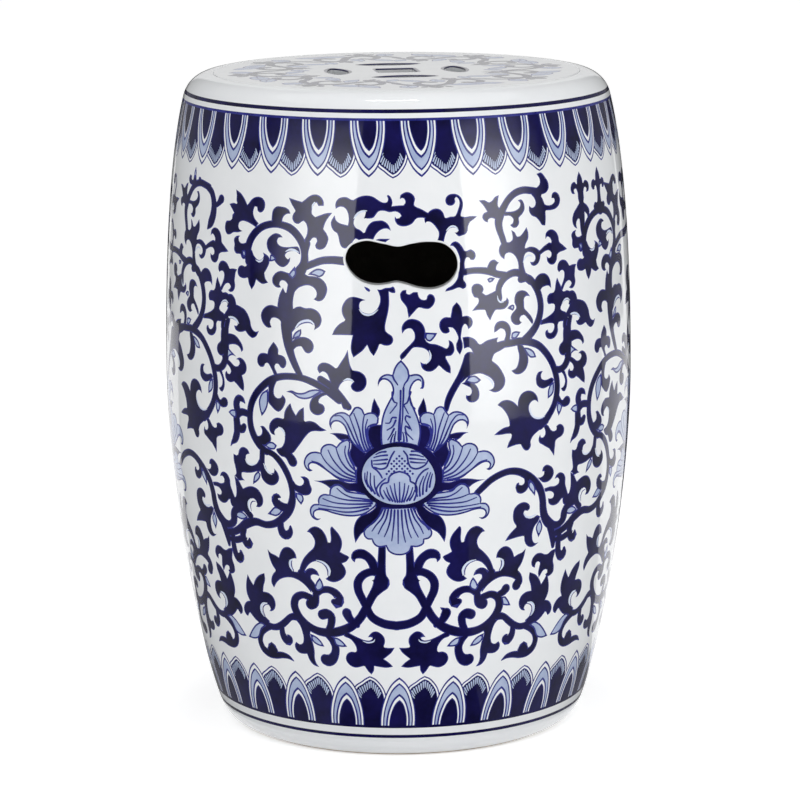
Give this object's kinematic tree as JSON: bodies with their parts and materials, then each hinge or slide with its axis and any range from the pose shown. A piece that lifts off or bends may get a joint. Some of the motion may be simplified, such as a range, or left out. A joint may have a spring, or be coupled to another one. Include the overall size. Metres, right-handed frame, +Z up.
{
  "type": "ceramic garden stool",
  "caption": "Barrel-shaped glazed garden stool, open below, with a flat coin-pierced seat, a hand hole front and back and painted lotus scrollwork.",
  "frame": {"origin": "centre of the foot, on the plane that the stool stands on", "axes": "+Z up along the drum's axis, -Y towards the front hand hole, +X to the right as seen from the front"},
  "size_m": [0.3271, 0.3272, 0.46],
  "materials": {
    "painted_glaze": "glossy clear glaze over white clay, painted under it in cobalt blue",
    "clear_glaze": "glossy clear glaze over white clay, wiped off the edge that stands on the floor",
    "bare_clay": "matt fired clay, unglazed"
  },
  "bodies": {
    "root": {"barrel": "painted_glaze", "seat_disc": "painted_glaze", "foot_ring": "clear_glaze", "seat_coil": "bare_clay", "foot_coil": "bare_clay"}
  },
  "joints": []
}
